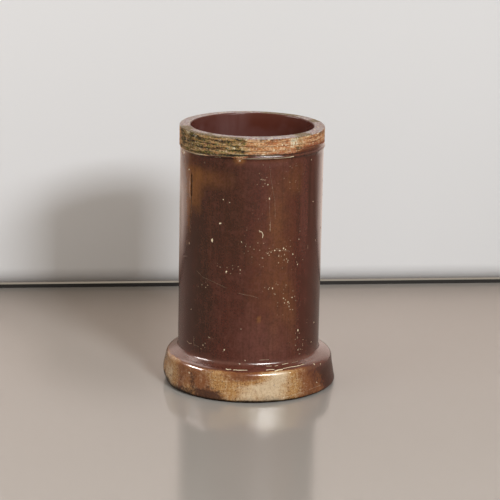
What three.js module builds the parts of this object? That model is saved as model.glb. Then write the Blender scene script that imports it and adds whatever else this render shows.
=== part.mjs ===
// Salt-glazed clay drain pipe: a barrel with a socket at one end and a grooved spigot at the other.
// Millimetres, +Z up. The pipe stands on the mouth of its socket, centred on the origin.

import * as THREE from "three";

// Barrel
const PIPE_HEIGHT = 655; // from the mouth of the socket to the end of the spigot
const BORE_DIAMETER = 305;
const BARREL_WALL = 25.5;

// Spigot: the unglazed end that stands in the next pipe's socket
const SPIGOT_LENGTH = 46;
const SPIGOT_RISE = 2; // how far the spigot stands proud of the barrel
const SPIGOT_STEP_LENGTH = 3; // height of the slope from the barrel out to the spigot
const SPIGOT_EDGE_RADIUS = 3;
const SPIGOT_GROOVES = 4;

// Socket: the wide end that takes the next pipe's spigot and its caulking
const SOCKET_DEPTH = 64; // from the mouth to the seat
const SOCKET_WALL = 25.5; // at the mouth
const SOCKET_DRAFT = 3.5; // how much the inside narrows from the mouth to the seat
const COLLAR_TAPER = 8.5; // how much the outside narrows from the mouth to the shoulder
const JOINT_GAP = 9; // room for caulking round a spigot, at the seat
const SOCKET_GROOVES = 5;
const SEAT_THICKNESS = 24.5; // from the seat up to the neck
const SEAT_EDGE_RADIUS = 5;
const BORE_EDGE_RADIUS = 3;
const NECK_FILLET_RADIUS = 9;
const SHOULDER_ANGLE = 24; // degrees below level
const SHOULDER_RADIUS = 16;
const MOUTH_OUTER_EDGE_RADIUS = 9;
const MOUTH_INNER_EDGE_RADIUS = 3;

// Keying grooves, turned the same way on the spigot and in the socket
const GROOVE_PITCH = 10.8;
const GROOVE_WIDTH = 4;
const GROOVE_DEPTH = 1.6;

// Facets
const TURN_SEGMENTS = 72;
const ARC_SEGMENTS = 4;

const boreRadius = BORE_DIAMETER / 2;
const barrelRadius = boreRadius + BARREL_WALL;
const spigotRadius = barrelRadius + SPIGOT_RISE;
const spigotFoot = PIPE_HEIGHT - SPIGOT_LENGTH;
const seatRadius = spigotRadius + JOINT_GAP;
const mouthInnerRadius = seatRadius + SOCKET_DRAFT;
const mouthOuterRadius = mouthInnerRadius + SOCKET_WALL;
const shoulderRadius = mouthOuterRadius - COLLAR_TAPER;
const neckHeight = SOCKET_DEPTH + SEAT_THICKNESS;
const shoulderFall = Math.tan(THREE.MathUtils.degToRad(SHOULDER_ANGLE)) * (shoulderRadius - barrelRadius);

// A corner of the wall's section: radius from the pipe's axis, height, and how far it is rounded.
function corner(radius, height, rounding = 0) {
  return { point: new THREE.Vector2(radius, height), rounding };
}

// Shallow V grooves in the wall that runs from `start` to `end`, with the clay on its left. They lie
// one pitch apart, counted back from `end`, and come out in the order in which the wall is drawn.
function keyingGrooves(start, end, count) {
  const along = end.clone().sub(start).normalize();
  const intoWall = new THREE.Vector2(-along.y, along.x).multiplyScalar(GROOVE_DEPTH);
  const halfWidth = along.clone().multiplyScalar(GROOVE_WIDTH / 2);
  const corners = [];
  for (let groove = count; groove > 0; groove -= 1) {
    const centre = end.clone().addScaledVector(along, -groove * GROOVE_PITCH);
    corners.push({ point: centre.clone().sub(halfWidth), rounding: 0 });
    corners.push({ point: centre.clone().add(intoWall), rounding: 0 });
    corners.push({ point: centre.clone().add(halfWidth), rounding: 0 });
  }
  return corners;
}

// The points of an arc that rounds one corner between its neighbours.
function roundedCorner(before, here, after) {
  if (here.rounding === 0) {
    return [here.point];
  }
  const toBefore = before.point.clone().sub(here.point).normalize();
  const toAfter = after.point.clone().sub(here.point).normalize();
  const halfAngle = toBefore.angleTo(toAfter) / 2;
  const reach = here.rounding / Math.tan(halfAngle);
  const start = here.point.clone().addScaledVector(toBefore, reach);
  const end = here.point.clone().addScaledVector(toAfter, reach);
  const bisector = toBefore.clone().add(toAfter).setLength(here.rounding / Math.sin(halfAngle));
  const centre = here.point.clone().add(bisector);
  const startAngle = start.clone().sub(centre).angle();
  const endAngle = end.clone().sub(centre).angle();
  const clockwise = toBefore.cross(toAfter) > 0;
  const { x, y } = centre;
  const arc = new THREE.EllipseCurve(x, y, here.rounding, here.rounding, startAngle, endAngle, clockwise);
  return arc.getPoints(ARC_SEGMENTS);
}

// The section of the wall, anticlockwise from the socket's mouth, up the outside and down the bore.
function wallSection() {
  const spigotStart = new THREE.Vector2(spigotRadius, spigotFoot);
  const spigotEnd = new THREE.Vector2(spigotRadius, PIPE_HEIGHT);
  const socketSeat = new THREE.Vector2(seatRadius, SOCKET_DEPTH);
  const socketMouth = new THREE.Vector2(mouthInnerRadius, 0);
  return [
    corner(mouthInnerRadius, 0, MOUTH_INNER_EDGE_RADIUS),
    corner(mouthOuterRadius, 0, MOUTH_OUTER_EDGE_RADIUS),
    corner(shoulderRadius, neckHeight - shoulderFall, SHOULDER_RADIUS),
    corner(barrelRadius, neckHeight, NECK_FILLET_RADIUS),
    corner(barrelRadius, spigotFoot - SPIGOT_STEP_LENGTH),
    corner(spigotRadius, spigotFoot),
    ...keyingGrooves(spigotStart, spigotEnd, SPIGOT_GROOVES),
    corner(spigotRadius, PIPE_HEIGHT, SPIGOT_EDGE_RADIUS),
    corner(boreRadius, PIPE_HEIGHT, SPIGOT_EDGE_RADIUS),
    corner(boreRadius, SOCKET_DEPTH, BORE_EDGE_RADIUS),
    corner(seatRadius, SOCKET_DEPTH, SEAT_EDGE_RADIUS),
    ...keyingGrooves(socketSeat, socketMouth, SOCKET_GROOVES),
  ];
}

function drainPipe() {
  const corners = wallSection();
  const outline = corners.flatMap((here, index) => {
    const before = corners.at(index - 1);
    const after = corners[(index + 1) % corners.length];
    return roundedCorner(before, here, after);
  });
  outline.push(outline[0].clone());
  const geometry = new THREE.LatheGeometry(outline, TURN_SEGMENTS);
  const glaze = new THREE.MeshStandardMaterial({ color: 0x5a3428, roughness: 0.28, metalness: 0 });
  const mesh = new THREE.Mesh(geometry, glaze);
  mesh.name = "drain_pipe";
  mesh.rotation.x = Math.PI / 2; // the lathe turns about Y, the pipe stands along Z
  return mesh;
}

const model = new THREE.Group();
model.add(drainPipe());

export default model;
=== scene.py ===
import math
from collections import namedtuple
from functools import reduce

import bmesh
import bpy
import numpy as np
from bpy.props import FloatProperty, FloatVectorProperty, IntProperty, PointerProperty
from mathutils import Matrix, Vector


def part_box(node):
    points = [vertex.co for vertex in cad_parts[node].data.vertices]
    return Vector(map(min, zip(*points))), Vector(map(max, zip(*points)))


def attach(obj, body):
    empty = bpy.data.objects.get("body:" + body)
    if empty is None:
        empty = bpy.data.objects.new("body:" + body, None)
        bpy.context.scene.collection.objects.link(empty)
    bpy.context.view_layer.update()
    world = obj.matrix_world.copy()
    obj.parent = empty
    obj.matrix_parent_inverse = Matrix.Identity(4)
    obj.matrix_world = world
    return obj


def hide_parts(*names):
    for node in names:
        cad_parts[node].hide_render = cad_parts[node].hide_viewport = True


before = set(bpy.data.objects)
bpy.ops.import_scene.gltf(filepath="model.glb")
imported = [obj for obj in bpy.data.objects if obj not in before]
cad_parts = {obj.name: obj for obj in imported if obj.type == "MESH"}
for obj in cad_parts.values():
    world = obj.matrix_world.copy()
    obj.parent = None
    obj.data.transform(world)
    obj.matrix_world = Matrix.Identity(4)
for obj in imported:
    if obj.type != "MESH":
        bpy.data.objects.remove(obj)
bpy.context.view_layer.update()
PIPE_LOW, PIPE_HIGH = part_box("drain_pipe")

bl_info = {
    "name": "Salt-glazed drain pipe",
    "version": (1, 0, 0),
    "blender": (4, 5, 0),
    "location": "3D View > Sidebar > Drain Pipe",
    "description": "Builds a weathered salt-glazed clay drain pipe and the small studio that it stands in",
    "category": "Object",
}

MM = 0.001
FULL_TURN = 2 * math.pi


# ---------------------------------------------------------------------------
# Settings
# ---------------------------------------------------------------------------


def linear(hex_colour):
    """A linear colour from the 8-bit colour that a screen shows, written as six hexadecimal digits."""
    shown = [int(hex_colour[i : i + 2], 16) / 255 for i in (0, 2, 4)]
    return tuple(v / 12.92 if v <= 0.04045 else ((v + 0.055) / 1.055) ** 2.4 for v in shown)


def length(name, description, metres):
    return FloatProperty(
        name=name, description=description, default=metres, min=0, unit="LENGTH", precision=4
    )


def angle(name, description, degrees, least=-90, most=90):
    return FloatProperty(
        name=name, description=description, default=math.radians(degrees), min=math.radians(least),
        max=math.radians(most), subtype="ANGLE",
    )


def number(name, description, default, least=0):
    return FloatProperty(name=name, description=description, default=default, min=least)


def count(name, description, default, least=0):
    return IntProperty(name=name, description=description, default=default, min=least)


def colour(name, description, hex_colour):
    return FloatVectorProperty(
        name=name, description=description, default=linear(hex_colour), size=3, min=0, max=1, subtype="COLOR"
    )


class PipeShape(bpy.types.PropertyGroup):
    """Sizes of the fired pipe."""

    height: length("Height", "From the socket's mouth to the spigot's end", PIPE_HIGH.z - PIPE_LOW.z)
    bore_diameter: length("Bore", "Nominal diameter of the bore", 305 * MM)
    barrel_wall: length("Wall", "Thickness of the barrel's wall", 25.5 * MM)
    spigot_length: length("Spigot length", "Length of the unglazed, grooved end", 46 * MM)
    spigot_rise: length("Spigot rise", "How far the spigot stands proud of the barrel", 2 * MM)
    spigot_step: length("Spigot step", "Height of the slope from the barrel out to the spigot", 3 * MM)
    socket_depth: length("Socket depth", "From the mouth of the socket to its seat", 64 * MM)
    socket_wall: length("Socket wall", "Thickness of the socket at its mouth", 25.5 * MM)
    socket_draft: length("Socket draft", "How much the inside narrows from the mouth to the seat", 3.5 * MM)
    collar_taper: length("Collar taper", "How much the outside narrows up to the shoulder", 8.5 * MM)
    joint_gap: length("Joint gap", "Room for caulking round a spigot, at the seat", 9 * MM)
    seat_thickness: length("Seat thickness", "From the seat up to the neck", 24.5 * MM)
    shoulder_angle: angle("Shoulder angle", "Slope of the socket's shoulder below level", 24, 0, 80)
    shoulder_radius: length("Shoulder radius", "Rounding of the socket's shoulder", 16 * MM)
    neck_radius: length("Neck radius", "Fillet between the shoulder and the barrel", 9 * MM)
    mouth_radius: length("Mouth radius", "Rounding of the socket's outer edge at its mouth", 9 * MM)
    seat_radius: length("Seat radius", "Rounding between the seat and the socket", 5 * MM)
    edge_radius: length("Edge radius", "Rounding of every other edge", 3 * MM)
    groove_pitch: length("Groove pitch", "From one keying groove to the next", 10.8 * MM)
    groove_width: length("Groove width", "Width of a keying groove", 4 * MM)
    groove_depth: length("Groove depth", "Depth of a keying groove", 1.6 * MM)
    spigot_grooves: count("Spigot grooves", "Keying grooves on the spigot", 4)
    socket_grooves: count("Socket grooves", "Keying grooves in the socket", 5)
    turns: count("Facets round", "Faces round the pipe", 246, least=24)


class PipeFinish(bpy.types.PropertyGroup):
    """Colours of the glaze, the bare clay and what has settled on it."""

    oxblood: colour("Oxblood", "Main colour of the salt glaze", "4e1d10")
    umber: colour("Umber", "Dark olive glaze where the fire was smoky", "371c0e")
    amber: colour("Amber", "Golden brown glaze where it is thin on the barrel", "8a5828")
    mauve: colour("Mauve", "Cooler, hazy glaze", "6a3e34")
    bore: colour("Bore", "Glaze inside the bore", "542a20")
    rust: colour("Rust", "Orange-brown between thick and thin glaze", "7e4a26")
    straw: colour("Straw", "Golden tan of thin glaze on the socket", "b0844c")
    cream: colour("Cream", "Almost bare clay on the socket", "cfb999")
    clay: colour("Clay", "Bare clay of the spigot", "b88752")
    pink_clay: colour("Pink clay", "Redder bare clay of the spigot", "c17b4b")
    film: colour("Glaze film", "Reddish film where the glaze fades into clay", "8a4a2d")
    # The rim's pale lilac grey is partly painted reflection of the pale wall, on an end that is kept matt.
    rim: colour("Rim", "Thin grey glaze on the end of the spigot", "a8a5b0")
    # Soot is also the colour of the painted contact shadow along the foot, and of the darkened grooves, crack
    # and holes.
    soot_and_shade: colour("Soot", "Dirt in grooves and cracks", "241b13")
    moss: colour("Moss", "Green-brown growth on the bare clay", "6b5a28")
    algae: colour("Algae", "Greener growth on the bare clay", "646a2c")
    lichen: colour("Lichen", "Pale crust on the bare clay", "dcd4b8")
    chip_and_highlight: colour("Chip", "Fresh clay in a chip", "e6d8b8")


class PipeWear(bpy.types.PropertyGroup):
    """How worn the pipe is."""

    seed: count("Seed", "Start of every random draw", 7)
    loose_pits: count("Loose pits", "Small pits strewn round the back", 46)
    undulation: length("Undulation", "How far the wall wanders from a true turn", 0.35 * MM)


class Studio(bpy.types.PropertyGroup):
    """The floor, the wall, the lamps and the camera."""

    floor: colour("Floor", "Colour of the floor", "a7a5a1")
    floor_unseen: colour("Floor, unseen", "Colour of the floor in what it throws back on the pipe", "564a3f")
    wall: colour("Wall", "Colour of the wall behind", "e1e2e4")
    wall_unseen: colour("Wall, unseen", "Colour of the wall in what it throws back on the pipe", "f6e5dd")
    wall_far: colour("Wall, far aside", "Colour of what the wall's sides throw back on the pipe", "937d74")
    wall_fade: length("Wall fade", "How far aside the wall's sides have faded", 1.7)
    # The gap's colour is painted shade under the wall.
    gap: colour("Gap", "Colour of the gap under the wall", "1c1815")
    air: colour("Air", "Colour seen past the wall", "d8d6d4")
    ambient: number("Ambient", "Strength of the light from all round", 0.40)
    ambient_tint: colour("Ambient tint", "Colour of the light from all round", "ffedd4")
    wall_distance: length("Wall distance", "From the pipe's axis back to the wall", 0.872)
    wall_left: length("Wall to the left", "How far the wall goes to the left", 3.2)
    wall_right: length("Wall to the right", "How far the wall goes to the right", 2.6)
    wall_height: length("Wall height", "Height of the wall", 3)
    wall_lift: length("Wall lift", "Gap between the floor and the wall", 11 * MM)
    wall_curl: length("Wall curl", "Radius in which the wall's foot curls back", 62 * MM)
    wall_turn: angle("Wall turn", "How far the wall is turned from square", 6.4)
    camera_distance: length("Camera distance", "From the pipe's axis to the camera, along the floor", 5.1022)
    camera_height: length("Camera height", "Height of the camera above the floor", 1.6347)
    camera_pitch: angle("Camera pitch", "How far the camera looks down", 14.303)
    camera_roll: angle("Camera roll", "How far the camera leans to its left", 1.078)
    focal_length: number("Focal length", "In millimetres, for a sensor 36 mm wide", 150.96, least=1)


# ---------------------------------------------------------------------------
# Section of the wall
# ---------------------------------------------------------------------------

Corner = namedtuple("Corner", "radius height rounding region step")
Corner.__doc__ = "A corner of the section, how far it is rounded, and the stretch of wall that follows it."

ARC_STEP = 1.6 * MM
ARC_LEAST = 3


class Section:
    """The wall's section, walked anticlockwise from the socket's mouth, up the outside and down the bore."""

    def __init__(self, shape):
        self.shape = shape
        self.bore = shape.bore_diameter / 2
        self.barrel = self.bore + shape.barrel_wall
        self.spigot = self.barrel + shape.spigot_rise
        self.seat = self.spigot + shape.joint_gap
        self.mouth_inner = self.seat + shape.socket_draft
        self.mouth_outer = self.mouth_inner + shape.socket_wall
        self.shoulder = self.mouth_outer - shape.collar_taper
        self.neck_height = shape.socket_depth + shape.seat_thickness
        fall = math.tan(shape.shoulder_angle) * (self.shoulder - self.barrel)
        self.shoulder_height = self.neck_height - fall
        self.spigot_foot = shape.height - shape.spigot_length
        self._walk()

    def corners(self):
        shape = self.shape
        edge = shape.edge_radius
        return [
            Corner(self.mouth_inner, 0, edge, "mouth", 3.5 * MM),
            Corner(self.mouth_outer, 0, shape.mouth_radius, "collar", 2.6 * MM),
            Corner(self.shoulder, self.shoulder_height, shape.shoulder_radius, "neck", 2.4 * MM),
            Corner(self.barrel, self.neck_height, shape.neck_radius, "barrel", 7.5 * MM),
            Corner(self.barrel, self.spigot_foot - shape.spigot_step, 0, "step", 0.8 * MM),
            Corner(self.spigot, self.spigot_foot, 0, "spigot", 0.9 * MM),
            Corner(self.spigot, shape.height, edge, "rim", 2.0 * MM),
            Corner(self.bore, shape.height, edge, "bore", 26 * MM),
            Corner(self.bore, shape.socket_depth, edge, "seat", 5 * MM),
            Corner(self.seat, shape.socket_depth, shape.seat_radius, "socket", 2.4 * MM),
        ]

    def _walk(self):
        """Fills the rows of the section: radius, height, distance walked and outward normal."""
        corners = self.corners()
        after = corners[1:] + corners[:1]
        arcs = [self._rounded(corners[i - 1], here, after[i]) for i, here in enumerate(corners)]
        points, regions = [], []
        for here, (_, end, arc), (next_start, _, _) in zip(corners, arcs, arcs[1:] + arcs[:1]):
            steps = max(1, round((next_start - end).length / here.step))
            stretch = arc + [end.lerp(next_start, k / steps) for k in range(1, steps)]
            points += stretch
            regions += [here.region] * len(stretch)
        table = np.array([tuple(p) for p in points])
        self.radius, self.height = table[:, 0], table[:, 1]
        ahead = np.roll(table, -1, axis=0) - table
        stride = np.hypot(ahead[:, 0], ahead[:, 1])
        self.walked = np.concatenate([[0], np.cumsum(stride)[:-1]])
        self.length = float(stride.sum())
        behind = table - np.roll(table, 1, axis=0)
        along = ahead / stride[:, None] + behind / np.roll(stride, 1)[:, None]
        along /= np.hypot(along[:, 0], along[:, 1])[:, None]
        self.normal = np.stack([along[:, 1], -along[:, 0]], axis=1)
        self.region = np.array(regions)

    @staticmethod
    def _rounded(before, here, after):
        """Start, end and points of the arc that rounds one corner."""
        point = Vector((here.radius, here.height))
        if not here.rounding:
            return point, point, [point]
        to_before = (Vector((before.radius, before.height)) - point).normalized()
        to_after = (Vector((after.radius, after.height)) - point).normalized()
        half = to_before.angle(to_after) / 2
        reach = here.rounding / math.tan(half)
        start, end = point + to_before * reach, point + to_after * reach
        centre = point + (to_before + to_after).normalized() * (here.rounding / math.sin(half))
        sweep = (start - centre).angle(end - centre)
        steps = max(ARC_LEAST, round(here.rounding * sweep / ARC_STEP))
        first, last = start - centre, end - centre
        arc = []
        for k in range(steps + 1):
            share = k / steps
            blend = first * math.sin((1 - share) * sweep) + last * math.sin(share * sweep)
            arc.append(centre + blend / math.sin(sweep))
        return start, end, arc

    def outer_rows(self):
        """The rows from the foot of the socket up to the rim, where height only rises."""
        rim = np.flatnonzero(self.region == "rim")[0]
        foot = np.flatnonzero(self.region == "collar")[0]
        return slice(foot, rim)

    def walk_at(self, height):
        """Distance walked to a height on the outside."""
        rows = self.outer_rows()
        return np.interp(height, self.height[rows], self.walked[rows])

    def look_up(self, walked):
        """Radius, height and normal at distances walked."""
        s = np.append(self.walked, self.length)
        closed = [np.append(a, a[0]) for a in (self.radius, self.height, *self.normal.T)]
        return [np.interp(walked, s, a) for a in closed]

    def regions_at(self, walked):
        rows = np.searchsorted(self.walked, walked + 1e-9, side="right") - 1
        return self.region[rows]


# ---------------------------------------------------------------------------
# Noise and tables
# ---------------------------------------------------------------------------


LATTICE = 4096
LATTICE_STRIDES = (73856093, 19349663, 83492791)


def value_noise(points, size, seed):
    """Smooth noise from -1 to 1, with features about `size` across."""
    lattice = np.random.default_rng(seed).uniform(-1, 1, LATTICE)
    scaled = points / size
    cell = np.floor(scaled).astype(np.int64)
    part = scaled - cell
    part = part * part * (3 - 2 * part)
    total = np.zeros(len(points))
    for corner in np.ndindex(2, 2, 2):
        key = (cell + corner) * LATTICE_STRIDES
        spot = key[:, 0] ^ key[:, 1] ^ key[:, 2]
        weight = np.where(corner, part, 1 - part).prod(axis=1)
        total += weight * lattice[spot % LATTICE]
    return total


def smooth(low, high, value):
    """0 at low, 1 at high, and an even curve between. Low may be above high."""
    t = np.clip((value - low) / (high - low), 0, 1)
    return t * t * (3 - 2 * t)


def bump(middle, reach, value):
    """1 at the middle, falling off evenly on both sides."""
    return np.exp(-(((value - middle) / reach) ** 2))


def turn_between(azimuth, other):
    """Degrees from one azimuth to another, the short way round."""
    return (azimuth - other + 180) % 360 - 180


def round_the_pipe(degrees, rows):
    """The columns of a table whose first column is an azimuth, read all the way round."""
    table = np.array(rows, float)
    return [np.interp(degrees, table[:, 0], column, period=360) for column in table[:, 1:].T]


# --------------------------------------------------------------------------- Places on the pipe, given in degrees to the right of the front and in millimetres
# Places on the pipe, set by hand, in degrees to the right of the front and in millimetres
# ---------------------------------------------------------------------------

# How soft a patch's edge is, as a share of its half width.
EVEN, FADED, SOFT = 0.45, 0.75, 0.9

Patch = namedtuple("Patch", "azimuth height half_width half_height strength edge")
Pit = namedtuple("Pit", "azimuth height width tall pale")
Stroke = namedtuple("Stroke", "width depth pale route")
Swell = namedtuple("Swell", "azimuth height half_width reach lift")


def patches(*rows):
    return tuple(Patch(a, h * MM, half, tall * MM, *look) for a, h, half, tall, *look in rows)


def pits(*rows):
    return tuple(Pit(a, h * MM, width * MM, tall * MM, pale) for a, h, width, tall, pale in rows)


def strokes(*rows):
    return tuple(
        Stroke(width * MM, depth * MM, pale, tuple((a, h * MM) for a, h in route))
        for width, depth, pale, *route in rows
    )


def swells(*rows):
    return tuple(Swell(a, h * MM, half, reach * MM, lift * MM) for a, h, half, reach, lift in rows)


# Smoky, dark olive glaze.
UMBER_GLAZE = patches(
    (-41, 300, 14, 240, 1.0, FADED), (-52, 330, 13, 260, 0.70, EVEN), (-63, 586, 6, 22, 0.70, SOFT),
    (-18, 450, 15, 130, 0.75, SOFT), (-11, 270, 12, 230, 0.34, SOFT), (-26, 588, 15, 24, 0.85, SOFT),
    (-17, 520, 11, 90, 0.65, SOFT), (-4, 575, 9, 60, 0.40, SOFT), (53.5, 500, 1.2, 100, 0.9, EVEN),
    (41, 500, 1.2, 90, 0.6, EVEN), (60.5, 480, 0.8, 90, 0.5, EVEN), (62, 200, 14, 110, 0.40, SOFT),
    (62, 460, 6, 130, 0.35, SOFT), (68, 36, 11, 40, 0.7, SOFT), (150, 330, 24, 200, 0.9, EVEN),
    (172, 180, 12, 90, 0.5, SOFT),
)
# Thin, golden glaze on the barrel.
AMBER_GLAZE = patches(
    (-55, 524, 9, 34, 1.0, SOFT), (-52, 516, 7, 46, 0.80, SOFT), (-44, 547, 20, 19, 0.46, SOFT),
    (-59.5, 495, 4, 75, 0.95, SOFT), (-71, 500, 9, 80, 0.55, SOFT), (14, 320, 12, 110, 0.18, SOFT),
    (24, 300, 8, 130, 0.20, SOFT), (22, 505, 8, 60, 0.18, SOFT), (21, 436, 4.5, 40, 0.22, SOFT),
    (31, 500, 9, 105, 0.10, SOFT), (37, 552, 6, 34, 0.30, SOFT), (18, 602, 18, 6, 0.2, SOFT),
    (33, 235, 5, 60, 0.22, SOFT), (38, 170, 3.5, 70, 0.12, SOFT), (-9, 600, 4.6, 9, 0.85, EVEN),
    (8, 204, 1.7, 5, 0.85, EVEN), (-71, 597, 9, 8, 0.9, EVEN), (105, 470, 14, 90, 0.6, SOFT),
    (-128, 260, 16, 130, 0.55, SOFT), (-165, 520, 18, 60, 0.6, EVEN),
)
# Cooler, hazy glaze. The patches low at the front, on the barrel's far sides and round the shoulder are
# painted reflection.
MAUVE_AND_REFLECTION = patches(
    (47, 480, 4.6, 120, 0.38, EVEN), (57, 500, 1.6, 100, 0.25, EVEN), (14, 135, 20, 70, 0.62, SOFT),
    (14, 594, 24, 9, 0.55, SOFT), (-2, 570, 9, 30, 0.12, SOFT), (-79, 300, 12, 330, 0.30, SOFT),
    (82, 300, 10, 330, 0.20, SOFT), (130, 200, 18, 90, 0.6, SOFT), (0, 85, 200, 10, 0.35, SOFT),
    (-66, 82, 30, 16, 0.8, SOFT), (66, 82, 30, 16, 0.8, SOFT),
)
# Painted reflection in the bore, in hazy streaks.
BORE_SHEEN = patches(
    (-156, 618, 13, 40, 0.48, SOFT), (-173, 600, 5, 60, 0.16, SOFT), (-122, 630, 6, 10, 0.45, SOFT),
    (20, 420, 40, 160, 0.5, SOFT),
)
# Where the glaze has lost its shine.
DULL = patches(
    (-60, 572, 8, 40, 0.75, SOFT), (-77, 574, 10, 46, 0.72, SOFT), (16, 605, 14, 7, 0.15, SOFT),
    (73, 606, 9, 18, 0.28, SOFT), (165, 470, 18, 70, 0.3, SOFT), (12, 76, 26, 9, 0.74, SOFT),
    (-40, 76, 12, 8, 0.06, SOFT), (-76, 30, 16, 27, 0.60, EVEN), (74, 32, 15, 30, 0.55, EVEN),
)
# Dark stains on the collar and the band. The low patches along the foot are painted contact shadow, and the
# thin ones near 613 mm darken the spigot's lowest groove.
STAINS_AND_SHADE = patches(
    (-29, 11, 10, 14, 0.85, SOFT), (-21, 9, 5, 12, 0.50, SOFT), (-51, 10, 5, 9, 0.40, SOFT),
    (-40, 46, 2.6, 24, 0.62, SOFT), (-7, 62, 6, 12, 0.20, SOFT), (15, 613.8, 30, 2.4, 0.80, EVEN),
    (-24, 612, 16, 1.7, 0.60, EVEN), (16, 654, 18, 7, 0.48, SOFT), (73, 650, 8, 8, 0.35, SOFT),
    (-25, 34, 3, 4, 0.40, EVEN), (-52, 40, 3, 4, 0.35, EVEN), (73, 24, 4, 6, 0.30, EVEN),
    (-64, 5, 40, 13, 0.50, SOFT), (-80, 8, 12, 24, 0.60, SOFT), (14, 6, 9, 14, 0.25, SOFT),
    (47, 8, 5, 14, 0.40, SOFT), (0, 4, 30, 4, 0.45, EVEN), (67, 652, 2, 4, 0.60, EVEN),
    (-67, 632, 3, 22, 0.40, SOFT),
)
# Black along the foot: painted contact shadow, with some dirt.
FOOT_SHADE_AND_DIRT = patches(
    (-25, 0, 100, 6.5, 0.97, EVEN), (-64, 2, 24, 10, 0.85, SOFT), (-78, 7, 12, 14, 0.92, SOFT),
    (14, 5, 30, 13, 0.46, SOFT), (150, 0, 60, 4, 0.7, EVEN),
)
# Pale crust on the spigot.
LICHEN = patches(
    (31.4, 648, 1.6, 4, 0.64, SOFT), (34.4, 644, 2.1, 8, 0.70, SOFT), (32.8, 634, 1.5, 4, 0.56, SOFT),
    (37.4, 637, 1.2, 4, 0.55, SOFT), (38.6, 649, 1.3, 3, 0.52, SOFT), (41.6, 642, 1.2, 4, 0.55, SOFT),
    (-61, 650, 3.2, 6, 0.62, SOFT), (-50, 646, 2.4, 3, 0.45, EVEN), (-43, 618, 2, 3, 0.45, EVEN),
    (-9, 600, 2.2, 6, 0.66, SOFT), (-9, 629, 2.4, 3.5, 0.33, SOFT), (-16, 630, 3.6, 4, 0.30, SOFT),
    (-140, 640, 5, 8, 0.8, EVEN),
)
# Growth right across the end of the spigot.
RIM_GROWTH = patches(
    (45, 655, 7, 12, 0.75, SOFT), (10, 655, 14, 12, 0.30, SOFT), (112, 655, 8, 12, 0.50, SOFT),
    (152, 655, 22, 12, 0.62, SOFT), (-38, 655, 4, 12, 0.45, SOFT), (-70, 655, 10, 12, 0.52, SOFT),
)
# Where the bore's glaze laps over the end of the spigot.
LAPPED = patches(
    (-50, 655, 26, 12, 1.0, EVEN), (155, 655, 27, 12, 1.0, EVEN), (-172, 655, 26, 12, 1.0, EVEN),
)

# Where the glaze is peppered with fine pale specks.
DUST = patches(
    (22, 362, 15, 30, 0.8, SOFT), (33, 240, 8, 26, 0.9, SOFT), (17, 280, 6, 14, 0.7, SOFT),
    (-15, 328, 12, 9, 0.8, SOFT), (-38, 276, 6, 12, 0.7, SOFT), (10, 540, 6, 26, 0.6, SOFT),
    (42, 396, 5, 26, 0.6, SOFT), (46, 135, 7, 42, 0.7, SOFT), (-38, 124, 7, 16, 0.7, SOFT),
    (8, 420, 10, 40, 0.5, SOFT), (34, 560, 10, 40, 0.35, SOFT), (160, 300, 30, 120, 0.6, SOFT),
    (-130, 420, 24, 90, 0.6, SOFT),
)

# How thin the glaze is round the collar, from 0, as thick as on the barrel, to 1, almost bare clay:
# azimuth, then at the foot, the middle and the shoulder.
THIN_GLAZE = (
    (-180, 0.40, 0.45, 0.35), (-150, 0.62, 0.70, 0.45), (-125, 0.35, 0.40, 0.30), (-105, 0.45, 0.50, 0.40),
    (-85, 0.52, 0.56, 0.46), (-72, 0.80, 0.83, 0.64), (-64, 0.85, 0.88, 0.68), (-57, 0.62, 0.58, 0.48),
    (-51, 0.34, 0.31, 0.27), (-46, 0.54, 0.42, 0.38), (-40, 0.56, 0.38, 0.33), (-34, 0.33, 0.35, 0.34),
    (-27, 0.26, 0.36, 0.44), (-21, 0.36, 0.63, 0.60), (-17, 0.48, 0.71, 0.53), (-11, 0.57, 0.66, 0.34),
    (-5, 0.84, 0.79, 0.25), (1, 0.90, 0.82, 0.26), (7, 0.84, 0.96, 0.39), (11, 0.88, 0.97, 0.68),
    (20, 0.90, 0.91, 0.95), (25, 0.82, 0.82, 0.97), (33, 0.53, 0.66, 0.60), (39, 0.38, 0.43, 0.38),
    (45, 0.29, 0.31, 0.25), (51, 0.27, 0.22, 0.17), (57, 0.31, 0.22, 0.14), (63, 0.12, 0.06, 0.05),
    (75, 0.05, 0.04, 0.02),
    (100, 0.25, 0.22, 0.15), (118, 0.60, 0.66, 0.40), (140, 0.40, 0.42, 0.30), (160, 0.55, 0.45, 0.35),
)
# What covers the bare clay round the spigot: azimuth, growth, and how red the clay is.
SPIGOT_COVER = (
    (-180, 0.45, 0.30), (-120, 0.40, 0.20), (-95, 0.30, 0.10), (-80, 0.36, 0.10), (-72, 0.66, 0.00),
    (-60, 0.86, 0.00), (-45, 0.80, 0.10), (-38, 0.66, 0.25), (-22, 0.66, 0.25), (-17, 0.74, 0.00),
    (-7, 0.66, 0.00), (-1, 0.26, 0.20), (12, 0.20, 0.45), (20, 0.14, 0.70), (31, 0.12, 0.80),
    (37, 0.42, 0.30), (42, 0.40, 0.20), (45, 0.08, 0.50), (65, 0.04, 0.70), (76, 0.12, 0.70),
    (100, 0.20, 0.50), (140, 0.55, 0.20),
)
# Where the glaze has worn off along its upper edge.
WORN_EDGE = patches(
    (-60, 604, 24, 20, 1.0, EVEN), (-20, 606, 12, 20, 0.35, EVEN), (12, 611, 10, 20, 0.5, EVEN),
    (-150, 608, 20, 20, 0.7, EVEN),
)
# Upper edge of the glaze: azimuth and height in millimetres.
GLAZE_EDGE = (
    (-180, 612), (-150, 606), (-120, 614), (-95, 601), (-70, 601.5), (-48, 602.5), (-38, 603), (-30, 607),
    (-16, 608.5), (-12.5, 604), (-9.5, 596), (-6, 605), (-2, 611), (12, 612.5), (32, 612.5), (38, 616),
    (43, 621), (50, 624), (60, 625), (72, 620), (100, 616), (125, 607), (150, 610),
)
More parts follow.
